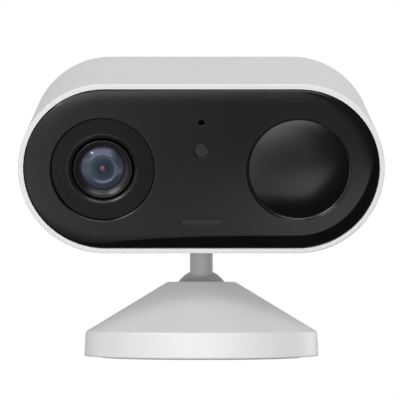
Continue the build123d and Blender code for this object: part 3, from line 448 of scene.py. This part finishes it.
# funnel round the barrel, wide enough to catch light on its lower right
bezel_low, bezel_high = extent("lens_bezel")
BEZEL = (bezel_high.x - bezel_low.x) / 2 / MM
BEZEL_FRONT = (bezel_low.y - RIM) / MM
BEZEL_BACK = (bezel_high.y - RIM) / MM
bm = bmesh.new()
turned(bm, [
    (BEZEL, BEZEL_FRONT + 0.12),
    (BEZEL - 0.10, BEZEL_FRONT),
    (BEZEL - 0.20, BEZEL_FRONT + 0.05),
    (BARREL + 0.75, BEZEL_FRONT + 0.62),
    (BARREL + 0.50, BEZEL_FRONT + 1.7),
    (BARREL + 0.45, BEZEL_BACK),
    (BEZEL, BEZEL_BACK),
], LENS_X)
add_piece("bezel_funnel", bm, "head", barrel_black, ["lens_bezel"])


def glass_look():
    """Coated front glass: polished, with a colour for each distance from its middle; the colours paint in
    a highlight at the middle and a pale reflection ring.
    """
    material, tree, shader = new_material("coated_glass_painted_highlight")
    centre = HEAD @ Vector((LENS_X, RIM, RISE))
    coords = tree.nodes.new("ShaderNodeTexCoord")
    away = tree.nodes.new("ShaderNodeVectorMath")
    away.operation = "DISTANCE"
    away.inputs[1].default_value = centre + back * (BARREL_FRONT + 1.0) * MM
    tree.links.new(coords.outputs["Object"], away.inputs[0])
    reach = tree.nodes.new("ShaderNodeMapRange")
    reach.inputs["From Max"].default_value = GLASS * MM
    tree.links.new(away.outputs["Value"], reach.inputs["Value"])
    ramp = tree.nodes.new("ShaderNodeValToRGB")
    # share of the glass's radius and colour: warm middle, partly the inner bead's warm colour and partly
    # a painted highlight, dark blue, a pale band that is a painted reflection ring, violet edge
    stops = [
        (0.0, (0.34, 0.25, 0.20)),
        (0.13, (0.10, 0.055, 0.045)),
        (0.20, (0.003, 0.008, 0.016)),
        (0.36, (0.004, 0.018, 0.030)),
        (0.50, (0.008, 0.034, 0.046)),
        (0.57, (0.055, 0.080, 0.090)),
        (0.72, (0.040, 0.052, 0.072)),
        (0.90, (0.046, 0.044, 0.075)),
        (0.985, (0.012, 0.012, 0.024)),
    ]
    while len(ramp.color_ramp.elements) < len(stops):
        ramp.color_ramp.elements.new(0.5)
    for element, (position, colour) in zip(ramp.color_ramp.elements, stops):
        element.position = position
        element.color = (*colour, 1)
    tree.links.new(reach.outputs["Result"], ramp.inputs["Fac"])
    tree.links.new(ramp.outputs["Color"], shader.inputs["Base Color"])
    gloss = noise(tree, GLASS_GLOSS_SCALE, 3.0)
    tree.links.new(spread(tree, gloss, 0.11, 0.15), shader.inputs["Roughness"])
    shader.inputs["Specular IOR Level"].default_value = 0.75
    shader.inputs["Specular Tint"].default_value = (0.72, 0.70, 1.0, 1)
    return material


# small raised middle, a fillet, a shallow dish, then the outer dome and a flat back
coated_glass_painted_highlight = glass_look()
GLASS_EDGE = BARREL_FRONT + 1.35
GLASS_BACK = GLASS_EDGE + 0.8
DISH_RADIUS = 4.1
outer_dome = dome(GLASS, BARREL_FRONT - 0.3, GLASS_EDGE, 36)
outer_dome = [point for point in outer_dome if point[0] > DISH_RADIUS]
step_depth = outer_dome[0][1]
fillet = arc((0.0, step_depth + 0.26), 0.12, 200, 270, 3)
dish = (1.5, 1.8, 2.2, 2.6, 3.0, 3.3, 3.5)
bm = bmesh.new()
turned(bm, [
    *dome(1.15, step_depth - 0.15, step_depth + 0.30, 10),
    *[(1.3 + radius, depth) for radius, depth in fillet],
    *[(radius, step_depth + 0.1 + 0.018 * radius**2) for radius in dish],
    *outer_dome,
    (GLASS, GLASS_BACK),
    (0, GLASS_BACK),
], LENS_X)
add_piece("front_glass_coated", bm, "head", coated_glass_painted_highlight, ["lens_front_glass"])

# ---------------------------------------------------------------- motion dome
DOME = (dome_high.x - dome_low.x) / 2 / MM
DOME_APEX = (dome_low.y - RIM) / MM
DOME_HEIGHT = 1.8
DOME_SKIRT = 1.0
DOME_EDGE = DOME_APEX + DOME_HEIGHT
DOME_BACK = DOME_EDGE + DOME_SKIRT
bm = bmesh.new()
turned(bm, [
    *dome(DOME - 0.12, DOME_APEX, DOME_EDGE - 0.1, 40),
    (DOME, DOME_EDGE + 0.12),
    (DOME, DOME_BACK),
    (0, DOME_BACK),
], MOTION_X)
add_piece("motion_dome_smooth", bm, "head", dome_black, ["motion_dome"])

# ---------------------------------------------------------------- studio
def stage_mesh(name, bm, material, **visible):
    """A floor, backdrop or card; the keywords say which rays see it."""
    mesh = bpy.data.meshes.new(name)
    bm.to_mesh(mesh)
    bm.free()
    mesh.materials.append(material)
    thing = bpy.data.objects.new(name, mesh)
    bpy.context.scene.collection.objects.link(thing)
    for ray, value in visible.items():
        setattr(thing, f"visible_{ray}", value)


def flat(*corners):
    bm = bmesh.new()
    bm.faces.new([bm.verts.new(corner) for corner in corners])
    return bm


def glowing(name, colour, strength):
    """Surface that only gives light, the same all over."""
    material, tree, shader = new_material(name)
    shader.inputs["Base Color"].default_value = (0, 0, 0, 1)
    shader.inputs["Specular IOR Level"].default_value = 0.0
    shader.inputs["Emission Color"].default_value = (*colour, 1)
    shader.inputs["Emission Strength"].default_value = strength
    return material


# rays that don't see a thing: the backdrop is for the camera alone, the cards for reflections
SEEN = {"diffuse": False, "glossy": False, "shadow": False, "transmission": False}
MIRRORED = {"camera": False, "diffuse": False, "shadow": False, "transmission": False}
FLOOR_HALF = 4
TENT_RADIUS = 5.0
backdrop_white = glowing("backdrop_white", (1, 1, 1), 1.02)
white_floor = flat((-FLOOR_HALF, -FLOOR_HALF, 0), (FLOOR_HALF, -FLOOR_HALF, 0),
                   (FLOOR_HALF, FLOOR_HALF, 0), (-FLOOR_HALF, FLOOR_HALF, 0))
stage_mesh("floor", white_floor, backdrop_white, **SEEN)
tent = bmesh.new()
bmesh.ops.create_icosphere(tent, subdivisions=3, radius=TENT_RADIUS)
stage_mesh("tent", tent, backdrop_white, **SEEN)


def mapped(tree, value, start, end, low, high):
    """Smooth step from low at start to high at end."""
    node = tree.nodes.new("ShaderNodeMapRange")
    node.interpolation_type = "SMOOTHSTEP"
    for label, number in (("From Min", start), ("From Max", end), ("To Min", low), ("To Max", high)):
        node.inputs[label].default_value = number
    tree.links.new(value, node.inputs["Value"])
    return node.outputs["Result"]


def combine(tree, operation, first, second):
    """Maths on two sockets or numbers."""
    node = tree.nodes.new("ShaderNodeMath")
    node.operation = operation
    for socket, value in zip(node.inputs, (first, second)):
        if isinstance(value, float):
            socket.default_value = value
        else:
            tree.links.new(value, socket)
    return node.outputs["Value"]


def floor_painted_light_and_shade():
    """Reflection-only floor glow with painted light and shade: bright close to the face on the right, mid
    on the left, and far off bright only on the left.
    """
    material, tree, shader = new_material("floor_painted_light_and_shade")
    shader.inputs["Base Color"].default_value = (0, 0, 0, 1)
    shader.inputs["Specular IOR Level"].default_value = 0.0
    shader.inputs["Emission Color"].default_value = (1, 1, 1, 1)
    coords = tree.nodes.new("ShaderNodeTexCoord")
    parts = tree.nodes.new("ShaderNodeSeparateXYZ")
    tree.links.new(coords.outputs["Object"], parts.inputs["Vector"])
    x, y = parts.outputs["X"], parts.outputs["Y"]
    near = mapped(tree, y, -0.165, -0.095, 0.0, 1.0)
    far = mapped(tree, y, -0.19, -0.55, 0.0, 1.0)
    left = mapped(tree, x, 0.02, -0.09, 0.0, 0.46)
    glow = combine(tree, "MULTIPLY", near, mapped(tree, x, -0.02, 0.06, 0.12, 0.78))
    beyond = combine(tree, "MULTIPLY", far, mapped(tree, x, 0.12, -0.10, 0.25, 1.0))
    base = mapped(tree, x, 0.04, 0.09, 0.34, 0.26)
    total = combine(tree, "ADD", combine(tree, "ADD", glow, left), combine(tree, "ADD", beyond, base))
    # painted shadow of the head under it, and dim past its right end
    total = combine(tree, "MULTIPLY", total, mapped(tree, y, -0.048, -0.092, 0.05, 1.0))
    total = combine(tree, "MULTIPLY", total, mapped(tree, x, 0.064, 0.110, 1.0, 0.25))
    tree.links.new(total, shader.inputs["Emission Strength"])
    return material


def card(name, material, *corners):
    """Flat card that only reflections see."""
    stage_mesh(name, flat(*corners), material, **MIRRORED)


card_black = glowing("card_black", (0, 0, 0), 0.0)
card_bright = glowing("card_bright", (1, 1, 1), 2.3)
card_key = glowing("card_key", (1, 1, 1), 6.0)
card_spot = glowing("card_spot", (1, 0.98, 0.95), 20.0)
CAMERA_PLACE = Vector((-0.00044, -0.6, 0.0168))
LIFTED = 0.001
SHADE_CARD_HEIGHT = 0.030
FLAG_STEPS = 16
# how much of the shoulder's width the flag's edge lies out on, at least and at most beyond that
FLAG_SHARE = 0.22
FLAG_GROWTH = 0.78


def mirrored(x, rise, slope, bearing):
    """Point of the floor that the camera sees mirrored at x and rise, in mm, on the face.

    The slope tilts the surface there, in radians, away from the face's middle at that bearing."""
    point = HEAD @ Vector((x * MM, RIM + PANEL_FRONT * MM, RISE + rise * MM))
    outward = Vector((1, 0, 0)) * math.cos(bearing) + up * math.sin(bearing)
    normal = -back * math.cos(slope) + outward * math.sin(slope)
    ray = (point - CAMERA_PLACE).normalized().reflect(normal)
    return point + ray * (point.z / -ray.z)


def flag_outline():
    """Edge of the black flag: along the bottom of the flat middle and up its right end. It is placed from
    the camera's place, so the face mirrors it as a painted dark edge.
    """
    flat_radius = PANEL_RADIUS - PILLOW_WIDTH - CORNER
    steepest = math.atan(2 * PILLOW_DROP / PILLOW_WIDTH)
    # the bottom starts left of the flat middle, and the edge lies further out towards both ends
    places = []
    for i in range(FLAG_STEPS):
        x = PANEL_OFFSET * (-1.3 + 2.3 * i / FLAG_STEPS)
        places.append((x, -90.0, FLAG_SHARE + FLAG_GROWTH * (1 - i / FLAG_STEPS) ** 3))
    for bearing in range(-90, 66, 5):
        growth = min(1.0, max(0.0, (bearing + 65) / 85) ** 3)
        places.append((PANEL_OFFSET, bearing, FLAG_SHARE + FLAG_GROWTH * growth))
    edge = []
    for x, bearing, share in places:
        angle = math.radians(bearing)
        reach = flat_radius + PILLOW_WIDTH * share
        place = mirrored(x + reach * math.cos(angle), reach * math.sin(angle), steepest * share, angle)
        edge.append((place.x, place.y, LIFTED))
    return edge


# What the black face, the lens and the motion dome mirror: a floor whose glow is painted light and
# shade, a black flag placed from the camera's place that paints the face's dark lower-right edge as a
# reflection, a black card under the head that paints the shade there, a black card on the right for the
# dome's dark side, a bright window low in front, a key lamp on the upper left, and a small lamp lower on
# the left.
card("card_floor", floor_painted_light_and_shade(), (-1.2, -1.6, 0), (1.2, -1.6, 0), (1.2, 0.3, 0), (-1.2, 0.3, 0))
# painted reflection: the face's lower-right shoulder mirrors this black flag as a dark crescent
card("card_flag", card_black, *flag_outline(),
     (0.9, -0.4, LIFTED), (0.9, 0.3, LIFTED), (-0.03, 0.3, LIFTED))
# painted shade: the face mirrors this black card as the shade under the head
card("card_painted_shade", card_black,
     (-0.06, -0.034, SHADE_CARD_HEIGHT), (0.09, -0.034, SHADE_CARD_HEIGHT),
     (0.09, -0.010, SHADE_CARD_HEIGHT), (-0.06, -0.010, SHADE_CARD_HEIGHT))
card("card_right", card_black,
     (0.29, -0.62, 0.0), (0.80, -0.10, 0.0), (0.80, -0.10, 0.5), (0.29, -0.62, 0.5))
card("card_window", card_bright,
     (-0.40, -0.75, 0.03), (0.22, -0.75, 0.03), (0.22, -0.75, 0.34), (-0.40, -0.75, 0.34))
card("card_key", card_key,
     (-0.66, -0.36, 0.42), (-0.36, -0.66, 0.42), (-0.24, -0.46, 0.72), (-0.46, -0.24, 0.72))
card("card_spot", card_spot,
     (-0.37, -0.56, 0.17), (-0.32, -0.59, 0.17), (-0.32, -0.59, 0.22), (-0.37, -0.56, 0.22))

scene = bpy.context.scene
scene.view_settings.view_transform = "Standard"


def studio_world():
    """Light tent: bright in front, dimmer behind and below."""
    world = bpy.data.worlds.new("studio")
    scene.world = world
    world.use_nodes = True
    tree = world.node_tree
    coords = tree.nodes.new("ShaderNodeTexCoord")
    parts = tree.nodes.new("ShaderNodeSeparateXYZ")
    tree.links.new(coords.outputs["Generated"], parts.inputs["Vector"])
    front = mapped(tree, parts.outputs["Y"], 0.3, -1.0, 0.46, 0.73)
    height = mapped(tree, parts.outputs["Z"], -1.0, 1.0, -0.26, 0.07)
    total = combine(tree, "ADD", front, height)
    background = tree.nodes["Background"]
    background.inputs["Color"].default_value = (1, 1, 1, 1)
    tree.links.new(total, background.inputs["Strength"])


studio_world()


def softbox(name, place, target, size, watts):
    """Rectangular lamp at a place, aimed at a target."""
    data = bpy.data.lights.new(name, "AREA")
    data.shape = "RECTANGLE"
    data.size, data.size_y = size
    data.energy = watts
    light = bpy.data.objects.new(name, data)
    scene.collection.objects.link(light)
    light.location = place
    light.rotation_euler = (Vector(target) - Vector(place)).to_track_quat("-Z", "Y").to_euler()
    return light


middle = (0.0, 0.0, 0.06)
foot = (0, 0, 0.01)
softbox("low_left_box", (-0.36, -0.74, 0.02), foot, (0.3, 0.2), 0.19)
softbox("front_box", (0.14, -0.48, 0.62), (0, 0, 0.02), (0.4, 0.3), 0.82)
softbox("top_box", (0.35, -0.05, 0.70), middle, (0.5, 0.4), 0.53)
softbox("back_right_box", (0.50, 0.42, 0.03), foot, (0.3, 0.3), 0.87)
softbox("back_left_box", (-0.6, 0.35, 0.10), middle, (0.3, 0.3), 0.20)

# low boxes that light the foot's upright wall; the glossy face does not mirror them
wall_left_box = softbox("wall_left_box", (-0.30, -0.42, -0.10), foot, (0.2, 0.1), 0.73)
wall_left_box.visible_glossy = False
wall_right_box = softbox("wall_right_box", (0.34, -0.42, -0.08), foot, (0.2, 0.1), 0.37)
wall_right_box.visible_glossy = False

# ---------------------------------------------------------------- camera
SENSOR_WIDTH = 36.0
FOCAL_LENGTH = 173.0
CAMERA_RISE = 3.07
NEAREST_SEEN = 0.01
camera_data = bpy.data.cameras.new("camera")
camera_data.sensor_width = SENSOR_WIDTH
camera_data.lens = FOCAL_LENGTH
camera = bpy.data.objects.new("camera", camera_data)
scene.collection.objects.link(camera)
camera.location = CAMERA_PLACE
camera.rotation_euler = (math.radians(90 + CAMERA_RISE), 0, 0)
camera_data.clip_start = NEAREST_SEEN
scene.camera = camera
